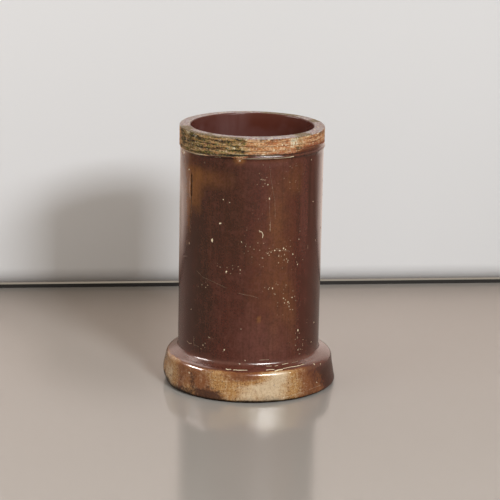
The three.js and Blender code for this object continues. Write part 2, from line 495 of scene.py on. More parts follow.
# How far the step under the spigot wanders up or down, in millimetres, and how high the glaze's lip on it is.
STEP_WANDER = (
    (-180, -2, 1), (-120, 1, 0.2), (-70, -5, 0.1), (-48, -5.5, 0.3), (-36, -5.5, 0.8), (-27, -2.5, 1),
    (-16, -1.5, 1), (0, -1.2, 1), (60, -1.2, 1), (120, -2, 1),
)

# The socket was set down while soft: how far its outside is pushed out or in.
SWELLS = swells(
    (-88, 2, 34, 15, -9.0), (-88, 36, 40, 16, 1.2), (-95, 72, 50, 24, -2.4), (90, 72, 45, 16, 1.2),
    (90, 22, 50, 30, 2.0), (88, 2, 45, 12, 2.4),
)

# Pits that show clay through the glaze: azimuth, height, width, height of the pit, and how pale it is.
PITS = pits(
    (-22.2, 500, 4, 4, 0.9), (-16.8, 495, 3.5, 4, 0.7), (-24.5, 441, 6, 6, 0.7), (-31.4, 395, 8, 12, 1.0),
    (-6.7, 399, 4, 6, 0.6), (-3.5, 388, 3, 4, 0.5), (-18.4, 322, 5, 5, 1.0), (-7.5, 328, 4, 5, 0.6),
    (-13.3, 329, 2.5, 6, 0.45), (-23.9, 331, 5, 3, 0.5), (27.3, 380, 5, 4, 1.0), (29.1, 377, 3, 5, 0.8),
    (24.1, 375, 4.5, 4.5, 1.0), (19.6, 377, 4, 4.5, 0.9), (14.5, 371, 4, 3, 0.45), (10.0, 359, 5, 3, 0.6),
    (28.3, 364, 3, 5, 0.6), (25.5, 361, 3, 3, 0.5), (30.4, 352, 3, 4, 0.6), (31.2, 344, 2.5, 4, 0.6),
    (36.3, 362, 4, 5, 0.7), (41.1, 334, 4, 5, 0.9), (40.3, 340, 3, 3, 0.6), (47.2, 343, 5, 4, 0.5),
    (18.6, 281, 4, 4.5, 1.0), (20.8, 266, 2.5, 5, 0.6), (28.3, 253, 4, 4, 0.7), (32.5, 242, 3.5, 4, 1.0),
    (36.3, 252, 5, 4.5, 1.0), (29.3, 241, 4, 3, 0.7), (40.2, 243, 3, 3, 0.5), (33.6, 230, 2.5, 5, 0.7),
    (34.6, 222, 2.5, 4, 0.7), (30.3, 286, 3, 4, 0.5), (16, 284, 2.5, 3, 0.6), (43.5, 164, 5, 9, 0.9),
    (43.1, 145, 5, 4, 0.5), (44, 113, 5, 4, 0.7), (46, 102, 8, 3, 0.5), (66.6, 169, 8, 4, 0.6),
    (-39, 124, 4, 7, 0.6), (-33, 148, 7, 4, 0.5), (-19.3, 122, 4, 6, 0.9), (-20.2, 117, 2.5, 3, 0.5),
    (-2.3, 99, 4, 4, 0.6), (-59, 558, 9, 8, 0.7), (-57.6, 372, 9, 8, 0.5), (13, 541, 3.4, 4.6, 0.7),
    (14.5, 506, 4, 5, 0.95), (9, 590, 3, 6, 0.5), (59, 483, 8, 3, 0.7), (66, 381, 7, 6, 0.5),
    (42, 397, 5, 5, 0.6), (53, 372, 3, 14, 0.4), (-41, 278, 4, 4, 0.5), (-37, 273, 4, 4, 0.5),
    (-54, 206, 6, 4, 0.5), (62, 121, 8, 4, 0.5), (-6, 179, 5, 2.5, 0.5), (55, 590, 4, 6, 0.5),
    (-40, 585, 4, 4, 0.4), (53.5, 30, 10, 9, 0.5), (60, 71, 6, 5, 0.8), (53.5, 76, 5, 7, 0.75),
    (-43, 57, 9, 6, 0.6), (30, 71, 6, 3, 1.0), (-6.5, 90, 6, 4, 0.5), (17.5, 626, 4, 4, 1.0),
    (20, 634, 4, 4, 0.9), (24, 637, 4, 5, 1.0), (27, 636, 4, 5, 1.0), (-4.5, 651, 6, 4, 1.0),
    (49, 655, 12, 4, 1.0), (63, 654, 12, 4, 0.9), (13, 653, 9, 4, 0.7), (9, 616, 12, 3, 0.7),
    (-71, 594, 30, 15, 0.5),
)
# Dark holes and notches.
HOLES = pits(
    (-79, 25, 26, 13, -1), (-64, 31, 5, 5, -1), (53.5, 653, 5, 3, -1), (-57, 39, 4, 3, -1),
    (-51, 33, 4, 3, -1), (18, 44, 2.5, 5, -1),
)
# Lines: width, depth, shade from -1, dark, to 1, pale, and the route as azimuths and millimetres of height.
STROKES = strokes(
    # The crack at the upper left.
    (7.8, 3.0, -1.0, (-55.4, 546), (-55.1, 520), (-55.4, 494)),
    (3.4, 0.8, -0.7, (-55.4, 498), (-55.0, 470), (-56.4, 440), (-56.0, 405)),
    # Fine dark runs in the glaze.
    (1.6, 0.1, -0.35, (53.2, 598), (53.6, 520), (53.2, 440), (53.8, 390)),
    (1.4, 0.1, -0.30, (41.0, 560), (41.4, 480), (41.2, 410)),
    (1.4, 0.1, -0.25, (-33.5, 250), (-33.2, 190), (-33.6, 120)),
    # The worn line where the shoulder turns down, and thin dashes above it, partly painted highlight.
    (3.0, 0.35, 1.0, (-15.6, 79.8), (-14, 79.2), (-12.2, 79.8)),
    (2.4, 0.35, 1.0, (-10.2, 79.4), (-6, 79.6), (-0.6, 80)),
    (3.0, 0.35, 0.9, (13.5, 79.8), (16, 80.2), (19, 79.8)),
    (4.6, 0.40, 0.8, (19.5, 77.5), (22, 78.5), (25, 78.6)),
    (2.2, 0.35, 1.0, (26, 79.6), (32, 80.3), (39, 79.8), (45, 80.2)),
    (1.6, 0.25, 0.7, (14.5, 85.6), (18.5, 85.4)),
    (1.8, 0.25, 0.8, (21, 85), (23.5, 85.3)),
    (1.8, 0.25, 0.8, (27.5, 86), (33, 86.4)),
    (1.2, 0.2, 0.5, (36, 85.8), (43, 86.2)),
    # Pale stretches of the glaze's lip: worn flecks at the left, then painted highlight along the lip, and
    # above it a pale line painted over the shade of the step.
    (2.4, 0.1, 0.9, (-29.6, 606.5), (-27.6, 606.5)),
    (2.4, 0.1, 0.9, (-26.2, 606), (-24.6, 606)),
    (2.6, 0.1, 0.74, (-7, 607), (0, 607.5), (8, 607.5), (16, 607.5)),
    (2.6, 0.1, 0.80, (17, 607.5), (24, 607.5), (30, 608), (34, 608.5)),
    (2.2, 0.1, 0.40, (-15, 615.5), (-8, 615), (-3, 616)),
    (2.2, 0.1, 0.30, (0, 615.5), (8, 616.5), (17, 616), (26, 617)),
    # Long scratches round the front.
    (1.4, 0.2, 0.37, (-47, 310), (-40, 298), (-30, 292), (-18, 280)),
    (1.4, 0.2, 0.38, (-9, 270), (-3, 266.5), (2, 264), (7.5, 258)),
    (1.9, 0.25, 0.85, (7, 427), (9, 424), (10, 417), (9.6, 410)),
    (1.3, 0.15, 0.32, (14.2, 588), (15.6, 552), (17.2, 528), (19, 500), (19.6, 455)),
    (1.3, 0.15, 0.30, (16.9, 524), (14.6, 508), (14.8, 470), (15.7, 450)),
    (1.4, 0.15, 0.42, (15.7, 448), (15.6, 425)),
    (1.4, 0.2, 0.60, (-59.5, 120), (-56, 117), (-52.5, 118.5)),
    (1.4, 0.2, 0.45, (-50, 117.5), (-47, 118.5), (-44, 117)),
    (6.0, 0.0, 0.30, (-61.5, 376), (-61.3, 366)),
    (1.2, 0.2, 0.5, (-49.8, 139), (-49.5, 121)),
    (1.4, 0.2, 0.5, (9, 99.5), (14, 100.5), (17, 100.2)),
    (1.2, 0.2, 0.4, (12, 372), (20, 378), (33, 371)),
    (1.2, 0.2, 0.4, (-68, 333), (-60, 338)),
    (1.2, 0.2, 0.4, (66, 478), (76, 470)),
    # A scar along the foot, to the right.
    (1.6, 0.4, 0.40, (24, 12), (30, 13.5), (36, 16), (41, 17)),
    (1.6, 0.4, 0.34, (45, 18), (51, 20), (58, 19)),
)


# The barrel's back, which the lists leave nearly empty: its azimuths, and how far it keeps from the neck
# and from the spigot. Then the widths, in millimetres, and the paleness of the pits strewn over it.
BACK = (75, 285)
OFF_NECK, OFF_SPIGOT = 20 * MM, 30 * MM
LOOSE_WIDTHS = (2.5, 5.5)
LOOSE_PALENESS = (0.4, 1)


def pits_strewn(section, wear):
    """Small pits over the barrel's back, between the neck and the spigot."""
    draw = np.random.default_rng(wear.seed)
    strewn = []
    for _ in range(wear.loose_pits):
        azimuth = draw.uniform(*BACK)
        height = draw.uniform(section.neck_height + OFF_NECK, section.spigot_foot - OFF_SPIGOT)
        width, tall = draw.uniform(*LOOSE_WIDTHS, 2) * MM
        strewn.append(Pit(turn_between(azimuth, 0), height, width, tall, draw.uniform(*LOOSE_PALENESS)))
    return tuple(strewn)


# ---------------------------------------------------------------------------
# Fired clay
# ---------------------------------------------------------------------------

# The noises of the relief: the size of their lumps, how they are stretched, and the draw of each, which
# is added to the seed.
EVENLY, UPRIGHT, ROUND = (1, 1, 1), (1, 1, 0.1), (0.12, 0.12, 1)
LUMPS = {
    "waves": (70 * MM, EVENLY, 0),
    "sag": (15 * MM, EVENLY, 1),
    "runs": (8 * MM, UPRIGHT, 3),
    "ragged": (22 * MM, EVENLY, 4),
    "groove wear": (24 * MM, EVENLY, 5),
    "grit": (2.2 * MM, EVENLY, 6),
    "finely ragged": (9 * MM, EVENLY, 9),
    "rings": (2.2 * MM, ROUND, 10),
}
CHIPPED = 8

# A patch is a rounded rectangle of this squareness, and its edge is this ragged.
SQUARENESS = 2.6
PATCH_RAGGED = 0.3

# A pit's half width as a share of its width, and its depth. A hole is deeper.
PIT_HALF = 0.48
PIT_DEPTH, PIT_DEEPEST = 0.14, 0.8 * MM
HOLE_DEEPER = 2.5
# How ragged the edge of a mark is, in half widths, and the size of its chips: a share of the half width,
# but no less than the second number.
PIT_RAGGED, STROKE_RAGGED = 0.55, 0.22
CHIP_SHARE, CHIP_LEAST = 0.8, 0.9 * MM
# In half widths, how far a mark reaches, where its floor ends and where its edge starts. The low rim that
# is thrown up round it is a share of its depth.
MARK_REACH = 2.6
MARK_FLOOR, MARK_EDGE = 0.45, 1.05
RIM_THROWN, RIM_AT, RIM_WIDTH = 0.2, 1.25, 0.3

# How deep the glaze's sag is on the neck and elsewhere, its upright runs on the barrel, and the grit and
# the rings of bare clay. Then how much is left of the grooves, and how unevenly.
NECK_SAG, SAG = 0.02 * MM, 0.06 * MM
RUN_DEPTH, GRIT_DEPTH, RING_DEPTH = 0.05 * MM, 0.16 * MM, 0.20 * MM
GROOVE_LEFT, GROOVE_UNEVEN = 0.75, 0.4
# Where a groove's floor ends and its edge starts, in half widths.
GROOVE_FLOOR, GROOVE_EDGE = 0.1, 1.1
# The ridge of glaze above the shoulder: how far above, its reach and its height.
RIDGE_RISE, RIDGE_REACH, RIDGE_HEIGHT = 5.2 * MM, 1.6 * MM, 0.55 * MM
# The rolled lip of glaze under the spigot: how far under, its reach and its height. Then how far the
# step's wandering reaches, how ragged the glaze's edge is, and the thin lip along that edge.
LIP_DROP, LIP_REACH, LIP_HEIGHT = 1.6 * MM, 4.6 * MM, 1.8 * MM
STEP_REACH, EDGE_RAGGED = 7 * MM, 0.9 * MM
EDGE_DROP, EDGE_REACH, EDGE_HEIGHT = 1.5 * MM, 1.5 * MM, 0.25 * MM
# How far outside the barrel the swelling of the socket starts and is full.
SWELL_INNER, SWELL_OUTER = 8 * MM, 28 * MM
# The heights that the three columns of THIN_GLAZE hold for, and how far under the ridge the thin glaze
# ends, and how raggedly.
THIN_FOOT, THIN_MIDDLE, THIN_TOP = 12 * MM, 40 * MM, 66 * MM
THIN_END, THIN_RAGGED = 5 * MM, 1.5 * MM
# How many degrees the ragged noise moves the glaze and the growth round the pipe.
THIN_SWAY, GROWTH_SWAY = 1.2, 2
# Growth reaches in over the spigot's end between these two distances. Down the spigot it is a little
# thicker at the top.
GROWN_OVER, GROWN_IN, GROWN_SHARE = 3 * MM, 14 * MM, 0.9
TOP_GROWTH, TOP_REACH = 0.22, 8 * MM
# The film along the glaze's edge: its reach above and below it, in millimetres, and how much wider it is
# at the right, round one azimuth.
FILM_RIGHT, FILM_SPREAD = 62, 24
FILM_ABOVE, FILM_BELOW = (5.5, 3.5), (0.8, 7)
# Worn glaze is palest a little above the edge.
WORN_RISE, WORN_REACH, WORN_SHARE = 0.6 * MM, 1.5 * MM, 0.78
# How far the bore's glaze laps over the end, and how raggedly, in millimetres, and how softly it ends.
LAP, LAP_RAGGED, LAP_END = 6, 1.5, 3 * MM
# The bore is dull between these depths.
BRINK, BRINK_END, BRINK_DULL = 4 * MM, 14 * MM, 0.95

# How near to a mark each splitting of the faces goes, the depth under which a mark isn't in the last of
# them, and how near two points of the seams are to be one.
REFINED_WITHIN = (3.8 * MM, 1.4 * MM, 0)
FAINT = 0.12 * MM
SEAM = 0.01 * MM


class Mark:
    """A pit or a stroke as a line on the unrolled wall, with a half width and a depth."""

    def __init__(self, section, place):
        self.pale = place.pale
        if isinstance(place, Pit):
            self.depth = min(PIT_DEEPEST, PIT_DEPTH * min(place.width, place.tall))
            self.depth *= HOLE_DEEPER if place.pale < 0 else 1
            self.half = np.array((place.width, place.tall)) * PIT_HALF
            self.ragged = PIT_RAGGED
            route = [(place.azimuth, place.height)]
        else:
            self.depth = place.depth
            self.half = np.array((place.width, place.width)) / 2
            self.ragged = STROKE_RAGGED
            route = place.route
        self.route = [(math.radians(azimuth), section.walk_at(height)) for azimuth, height in route]
        self.reach = section.look_up(self.route[0][1])[0]

    def away(self, azimuth, walked):
        """How far places lie from the line, as a share of the half width."""
        nearest = np.full(len(azimuth), np.inf)
        x = azimuth * self.reach / self.half[0]
        y = walked / self.half[1]
        ends = [(a * self.reach / self.half[0], s / self.half[1]) for a, s in self.route]
        for (x0, y0), (x1, y1) in zip(ends, ends[1:] or ends):
            span = (x1 - x0) ** 2 + (y1 - y0) ** 2
            along = np.clip(((x - x0) * (x1 - x0) + (y - y0) * (y1 - y0)) / span, 0, 1) if span else 0
            nearest = np.minimum(nearest, np.hypot(x - x0 - along * (x1 - x0), y - y0 - along * (y1 - y0)))
        return nearest


class Surface:
    """Places on the pipe's surface, before any relief."""

    def __init__(self, section, azimuth, walked, seed):
        self.section, self.seed = section, seed
        self.azimuth, self.walked = azimuth, walked
        self.degrees = np.degrees(azimuth)
        self.radius, self.height, self.out, self.up = section.look_up(walked)
        self.region = section.regions_at(walked)
        self.round = np.stack([np.sin(azimuth), -np.cos(azimuth)], axis=1)
        self.points = self.place(0, 0, 0)
        self.outside = walked < section.walked[section.outer_rows().stop]

    def place(self, lift, outward, upward):
        """Points lifted along the surface's normal, then moved out from the axis and up."""
        reach = self.radius + self.out * lift + outward
        return np.column_stack([self.round * reach[:, None], self.height + self.up * lift + upward])

    def on(self, *regions):
        return np.isin(self.region, regions)

    def noise(self, name):
        """One of the relief's noises by name."""
        size, stretch, draw = LUMPS[name]
        return value_noise(self.points * stretch, size, self.seed + draw)

    def covered(self, places, ragged):
        """How far patches cover each place, taken together. A value of the ragged noise moves their edges."""
        clear = np.ones(len(self.degrees))
        for place in places:
            away = np.abs(turn_between(self.degrees, place.azimuth)) / place.half_width
            up = np.abs(self.height - place.height) / place.half_height
            distance = (away**SQUARENESS + up**SQUARENESS) ** (1 / SQUARENESS)
            distance = distance + PATCH_RAGGED * place.edge * ragged
            clear *= 1 - place.strength * smooth(1 + place.edge, 1 - place.edge, distance)
        return 1 - clear


def groove_depth(surface, shape):
    """Depth of the keying grooves."""
    depth = np.zeros(len(surface.walked))
    for region, start, step, grooves in (
        ("spigot", shape.height, -shape.groove_pitch, shape.spigot_grooves),
        ("socket", 0, shape.groove_pitch, shape.socket_grooves),
    ):
        for groove in range(1, grooves + 1):
            across = np.abs(surface.height - start - groove * step) / (shape.groove_width / 2)
            cut = shape.groove_depth * smooth(GROOVE_EDGE, GROOVE_FLOOR, across)
            depth = np.where(surface.on(region), np.maximum(depth, cut), depth)
    return depth


def swollen(surface):
    """How far the socket's outside is pushed out. That grows from the neck outwards."""
    moved = np.zeros(len(surface.walked))
    for swell in SWELLS:
        turn = np.clip(turn_between(surface.degrees, swell.azimuth) / swell.half_width, -1, 1)
        shown = np.cos(turn * math.pi / 2) ** 2 * bump(swell.height, swell.reach, surface.height)
        moved += swell.lift * shown
    barrel = surface.section.barrel
    outer = smooth(barrel + SWELL_INNER, barrel + SWELL_OUTER, surface.radius)
    return np.where(surface.on("mouth", "collar", "neck"), moved * outer, 0)


def marked(surface, marks):
    """Lift, paleness and dirt of the pits and strokes."""
    lift, pale, dirt_and_shade = (np.zeros(len(surface.walked)) for _ in range(3))
    for mark in marks:
        away = mark.away(surface.azimuth, surface.walked)
        near = surface.outside & (away < MARK_REACH)
        size = max(mark.half.min() * CHIP_SHARE, CHIP_LEAST)
        wobble = value_noise(surface.points[near], size, surface.seed + CHIPPED)
        edge = away[near] + mark.ragged * wobble
        deep = smooth(MARK_EDGE, MARK_FLOOR, edge)
        lift[near] -= mark.depth * deep
        lift[near] += RIM_THROWN * mark.depth * bump(RIM_AT, RIM_WIDTH, edge)
        told = pale if mark.pale > 0 else dirt_and_shade
        told[near] = np.maximum(told[near], deep * abs(mark.pale))
    return lift, pale, dirt_and_shade


class Relief:
    """How the fired surface departs from its section, and the masks that the glaze and the clay read."""

    def __init__(self, surface, shape, wear, marks):
        self.surface, self.shape, self.wear = surface, shape, wear
        self.upper = surface.on("barrel", "step", "spigot")
        self.ridge = surface.section.shoulder_height + RIDGE_RISE
        self.ragged = surface.noise("ragged") + 0.5 * surface.noise("finely ragged")
        self.cut, self.pale, self.dirt_and_shade = marked(surface, marks)
        worn = GROOVE_LEFT + GROOVE_UNEVEN * surface.noise("groove wear")
        self.grooves = groove_depth(surface, shape) * worn
        # The step wanders, and the glaze ends in a rolled lip on it.
        wander, self.rolled = round_the_pipe(surface.degrees, STEP_WANDER)
        stepped = bump(surface.section.spigot_foot, STEP_REACH, surface.height)
        self.upward = np.where(self.upper, wander * MM * stepped, 0)
        (edge,) = np.array(round_the_pipe(surface.degrees, GLAZE_EDGE)) * MM
        self.above = surface.height + self.upward - edge - EDGE_RAGGED * self.ragged
        bare = np.where(self.upper, smooth(-1 * MM, 1 * MM, self.above), 0)
        self.bare = np.where(surface.on("socket", "seat", "mouth"), 1, bare)

    def lift(self):
        """Waves of the wall, grooves, bare grit, the glaze's lips, the neck's ridge and the marks."""
        surface, neck = self.surface, self.surface.on("neck")
        lip = bump(surface.section.spigot_foot - LIP_DROP, LIP_REACH, surface.height)
        edge_lip = bump(-EDGE_DROP, EDGE_REACH, self.above)
        ridge = bump(self.ridge, RIDGE_REACH, surface.height)
        lift = self.wear.undulation * surface.noise("waves")
        lift += np.where(neck, NECK_SAG, SAG) * surface.noise("sag")
        lift += np.where(surface.on("barrel"), RUN_DEPTH * surface.noise("runs"), 0)
        lift -= self.grooves
        lift += self.bare * (GRIT_DEPTH * surface.noise("grit") + RING_DEPTH * surface.noise("rings"))
        lift += np.where(self.upper, LIP_HEIGHT * self.rolled * lip + EDGE_HEIGHT * edge_lip, 0)
        lift += np.where(neck, RIDGE_HEIGHT * ridge, 0)
        return lift + self.cut

    def thinness(self):
        """How thin the glaze is on the collar and the neck, up to the ridge."""
        height = self.surface.height
        foot, middle, top = round_the_pipe(self.surface.degrees + THIN_SWAY * self.ragged, THIN_GLAZE)
        lower = smooth(THIN_FOOT, THIN_MIDDLE, height)
        higher = smooth(THIN_MIDDLE, THIN_TOP, height)
        thin = foot + (middle - foot) * lower + (top - middle) * higher
        thin *= smooth(self.ridge, self.ridge - THIN_END, height + THIN_RAGGED * self.ragged)
        return np.where(self.surface.on("collar", "neck"), thin, 0)

    def growth(self):
        """Growth on the spigot and its end, and how red the clay under it is."""
        surface = self.surface
        moss, redness = round_the_pipe(surface.degrees + GROWTH_SWAY * self.ragged, SPIGOT_COVER)
        spigot = surface.section.spigot
        outer_edge = smooth(spigot - GROWN_IN, spigot - GROWN_OVER, surface.radius)
        on_rim = np.maximum(GROWN_SHARE * moss * outer_edge, surface.covered(RIM_GROWTH, self.ragged))
        moss = moss + TOP_GROWTH * smooth(TOP_REACH, 0, self.shape.height - surface.height)
        return np.where(surface.on("spigot"), moss, np.where(surface.on("rim"), on_rim, 0)), redness

    def film(self):
        """The reddish film on both sides of the glaze's upper edge, widest at the right."""
        right = bump(0, FILM_SPREAD, turn_between(self.surface.degrees, FILM_RIGHT))
        up, down = ((reach + wider * right) * MM for reach, wider in (FILM_ABOVE, FILM_BELOW))
        return np.where(self.upper, bump(0, np.where(self.above > 0, up, down), self.above), 0)

    def worn(self):
        """Pale marks, and the places where the glaze has worn off along its edge."""
        worn = self.surface.covered(WORN_EDGE, self.ragged) * bump(WORN_RISE, WORN_REACH, self.above)
        return np.maximum(self.pale, np.where(self.upper, WORN_SHARE * worn, 0))

    def masks(self):
        """Every mask by the name of its attribute."""
        surface, ragged = self.surface, self.ragged
        inner = surface.section.bore + (LAP + LAP_RAGGED * ragged) * MM
        lapped = surface.covered(LAPPED, ragged) * smooth(inner, inner - LAP_END, surface.radius)
        brink = smooth(BRINK_END, BRINK, self.shape.height - surface.height)
        brink = np.where(surface.on("bore"), brink, 0)
        moss, redness = self.growth()

        def places(table, where=True):
            return np.where(where, surface.covered(table, ragged), 0)

        return {
            "bare": self.bare,
            "groove": self.grooves / self.shape.groove_depth,
            "chip_and_highlight": self.worn(),
            # Dark marks, with the painted contact shadow along the foot.
            "dirt_and_shade": np.maximum(self.dirt_and_shade, places(FOOT_SHADE_AND_DIRT, surface.outside)),
            # Stains, with painted contact shadow along the foot.
            "stain_and_shade": places(STAINS_AND_SHADE, surface.outside),
            "thin": self.thinness(),
            "umber": places(UMBER_GLAZE, surface.outside),
            "amber": places(AMBER_GLAZE, self.upper),
            "mauve": places(MAUVE_AND_REFLECTION),
            "moss": moss,
            "red": redness,
            "film": self.film(),
            "dust": places(DUST, self.upper),
            "lichen": places(LICHEN, self.upper),
            "rim": np.where(surface.on("rim"), 1 - lapped, 0),
            "inside": np.where(surface.on("bore"), 1, np.where(surface.on("rim"), lapped, 0)),
            "painted_sheen": places(BORE_SHEEN, surface.on("bore")),
            "dull": np.where(
                surface.outside, surface.covered(DULL, ragged), BRINK_DULL * np.maximum(brink, lapped)
            ),
        }


def sheet_round(section, turns):
    """An open sheet of faces in which a vertex is an azimuth and a distance walked round the section."""
    sheet = bmesh.new()
    distances = (*section.walked, section.length)
    azimuths = -math.pi + FULL_TURN * np.arange(turns + 1) / turns
    grid = [[sheet.verts.new((a, s, 0)) for s in distances] for a in azimuths]
    for here, beside in zip(grid, grid[1:]):
        for j in range(len(distances) - 1):
            sheet.faces.new((here[j], beside[j], beside[j + 1], here[j + 1]))
    return sheet


def refine(sheet, marks):
    """Splits the faces round each mark, finer towards its middle; the faint marks once less."""
    for margin in REFINED_WITHIN:
        centres = np.array([face.calc_center_median()[:2] for face in sheet.faces])
        faces = list(sheet.faces)
        chosen = set()
        for mark in marks:
            if mark.depth >= FAINT or margin:
                beyond = (mark.away(centres[:, 0], centres[:, 1]) - 1) * mark.half.min()
                chosen.update(np.flatnonzero(beyond < margin))
        edges = {edge for index in chosen for edge in faces[index].edges}
        bmesh.ops.subdivide_edges(sheet, edges=list(edges), cuts=1, use_grid_fill=True)
    odd = [face for face in sheet.faces if len(face.verts) > 4]
    bmesh.ops.triangulate(sheet, faces=odd)


def close_seams(mesh):
    """Joins the sheet's edges, which meet exactly once the points are in place."""
    sheet = bmesh.new()
    sheet.from_mesh(mesh)
    rims = [vertex for vertex in sheet.verts if vertex.is_boundary]
    bmesh.ops.remove_doubles(sheet, verts=rims, dist=SEAM)
    sheet.to_mesh(mesh)
    sheet.free()


def fired_pipe(shape, wear):
    """The pipe's mesh with its relief, and its masks as attributes."""
    section = Section(shape)
    marks = [Mark(section, place) for place in (*PITS, *HOLES, *STROKES, *pits_strewn(section, wear))]
    sheet = sheet_round(section, shape.turns)
    refine(sheet, marks)
    mesh = bpy.data.meshes.new("fired_pipe")
    sheet.to_mesh(mesh)
    sheet.free()
    flat = np.empty(len(mesh.vertices) * 3, np.float32)
    mesh.vertices.foreach_get("co", flat)
    flat = flat.reshape(-1, 3).astype(float)
    surface = Surface(section, flat[:, 0], flat[:, 1], wear.seed)
    relief = Relief(surface, shape, wear, marks)
    placed = surface.place(relief.lift(), swollen(surface), relief.upward)
    placed[:, 2] = np.maximum(placed[:, 2], 0)
    mesh.vertices.foreach_set("co", placed.ravel().astype(np.float32))
    for name, values in relief.masks().items():
        layer = mesh.attributes.new(name, "FLOAT", "POINT")
        layer.data.foreach_set("value", values.astype(np.float32))
    close_seams(mesh)
    mesh.shade_smooth()
    mesh.update()
    return mesh


# ---------------------------------------------------------------------------
# Node helpers
# ---------------------------------------------------------------------------


class Wiring:
    """Adds nodes to a tree. A socket may be given a number, a colour or another node's output."""

    def __init__(self, tree):
        self.tree = tree

    def put(self, socket, value):
        if isinstance(value, bpy.types.NodeSocket):
            self.tree.links.new(value, socket)
        elif value is not None:
            colour_socket = socket.type == "RGBA" and len(value) == 3
            socket.default_value = (*value, 1) if colour_socket else value

    def node(self, kind, settings=None, **inputs):
        made = self.tree.nodes.new(kind)
        for name, value in (settings or {}).items():
            setattr(made, name, value)
        for name, value in inputs.items():
            self.put(made.inputs[name.replace("_", " ")], value)
        return made

    def use(self, effect, **inputs):
        """A shared effect in this tree, built if it is the first to be asked for."""
        tree = bpy.data.node_groups.get(effect) or effect_group(effect)
        return self.node("ShaderNodeGroup", {"node_tree": tree}, **inputs).outputs

    def maths(self, operation, *values, clamp=False):
        made = self.node("ShaderNodeMath", {"operation": operation, "use_clamp": clamp})
        for socket, value in zip(made.inputs, values):
            self.put(socket, value)
        return made.outputs[0]

    def times(self, *factors):
        return reduce(lambda a, b: self.maths("MULTIPLY", a, b), factors)

    def most(self, *values):
        return reduce(lambda a, b: self.maths("MAXIMUM", a, b), values)

    def swayed(self, value, noise, share):
        """A value moved up and down by a share of a noise round one half."""
        return self.maths("MULTIPLY_ADD", self.maths("SUBTRACT", noise, 0.5), share, value)

    def mix(self, share, a, b):
        made = self.node("ShaderNodeMix", {"data_type": "RGBA"})
        for place, value in ((0, share), (6, a), (7, b)):
            self.put(made.inputs[place], value)
        return made.outputs[2]

    def span(self, value, low, high, to_low=0.0, to_high=1.0, curve="SMOOTHSTEP"):
        made = self.node("ShaderNodeMapRange", {"interpolation_type": curve})
        for socket, given in zip(made.inputs, (value, low, high, to_low, to_high)):
            self.put(socket, given)
        return made.outputs[0]

    def noise(self, where, scale, detail=2.0, roughness=0.5):
        made = self.node("ShaderNodeTexNoise", Vector=where, Scale=scale, Detail=detail, Roughness=roughness)
        return made.outputs["Fac"]

    def cells(self, where, scale, feature="F1"):
        return self.node("ShaderNodeTexVoronoi", {"feature": feature}, Vector=where, Scale=scale).outputs

    def attribute(self, name):
        return self.node("ShaderNodeAttribute", {"attribute_name": name}).outputs["Fac"]

    def stretched(self, where, upright):
        """The same place with its height scaled, so that what is drawn there is drawn out or squeezed."""
        return self.node("ShaderNodeMapping", Vector=where, Scale=(1, 1, upright)).outputs[0]

    def either(self, share, first, second):
        """Two shaders, mixed."""
        both = self.node("ShaderNodeMixShader", Fac=share)
        self.put(both.inputs[1], first.outputs[0])
        self.put(both.inputs[2], second.outputs[0])
        return both.outputs["Shader"]


def clay_grain(wire, where, scale):
    """Grit in bare clay: a shade from dark to light and a height."""
    coarse = wire.noise(where, wire.times(scale, 0.3), 4.0, 0.65)
    fine = wire.noise(where, scale, 3.0, 0.7)
    shade = wire.maths("ADD", wire.times(coarse, 0.6), wire.times(fine, 0.4))
    return shade, wire.maths("ADD", coarse, wire.times(fine, 0.8))


def fine_grit(wire, where, scale, spread):
    """Fine grit, as a mask of its dark grains and one of its light grains."""
    noise = wire.noise(where, scale, 3.0, 0.7)
    return [wire.span(noise, 0.5, wire.maths(side, 0.5, spread)) for side in ("SUBTRACT", "ADD")]


def ragged_edge(wire, where, mask, scale, ragged, softness):
    """A soft mask with its edge broken."""
    noise = wire.noise(where, scale, 4.0, 0.62)
    low, high = (wire.maths(side, 0.5, softness) for side in ("SUBTRACT", "ADD"))
    return [wire.span(wire.swayed(mask, noise, ragged), low, high)]


def speckle(wire, where, scale, size, share):
    """Small scattered specks, as a mask. Only a share of the cells holds one."""
    cells = wire.cells(where, scale)
    spot = wire.span(cells["Distance"], size, wire.times(size, 0.4))
    pick = wire.node("ShaderNodeSeparateColor", Color=cells["Color"]).outputs[0]
    return [wire.times(spot, wire.maths("LESS_THAN", pick, share))]


# What draws each shared effect, its inputs, each a number with its default or a vector where there is no
# default, and its outputs.
EFFECTS = {
    "Clay grain": (clay_grain, {"Vector": None, "Scale": 420.0}, ("Shade", "Height")),
    "Grit": (fine_grit, {"Vector": None, "Scale": 380.0, "Spread": 0.12}, ("Dark", "Light")),
    "Ragged edge": (
        ragged_edge,
        {"Vector": None, "Mask": 0.0, "Scale": 150.0, "Ragged": 0.5, "Softness": 0.08},
        ("Mask",),
    ),
    "Speckle": (speckle, {"Vector": None, "Scale": 200.0, "Size": 0.2, "Share": 0.3}, ("Mask",)),
}


def effect_group(name):
    """The shader group of one of the shared effects."""
    draw, inputs, outputs = EFFECTS[name]
    tree = bpy.data.node_groups.new(name, "ShaderNodeTree")
    for label, default in inputs.items():
        kind = "NodeSocketVector" if default is None else "NodeSocketFloat"
        socket = tree.interface.new_socket(label, in_out="INPUT", socket_type=kind)
        if default is not None:
            socket.default_value = default
    for label in outputs:
        tree.interface.new_socket(label, in_out="OUTPUT", socket_type="NodeSocketFloat")
    wire = Wiring(tree)
    entry = tree.nodes.new("NodeGroupInput")
    leave = tree.nodes.new("NodeGroupOutput")
    for socket, drawn in zip(leave.inputs, draw(wire, *entry.outputs[:len(inputs)])):
        wire.put(socket, drawn)
    return tree


# ---------------------------------------------------------------------------
# Materials
# ---------------------------------------------------------------------------

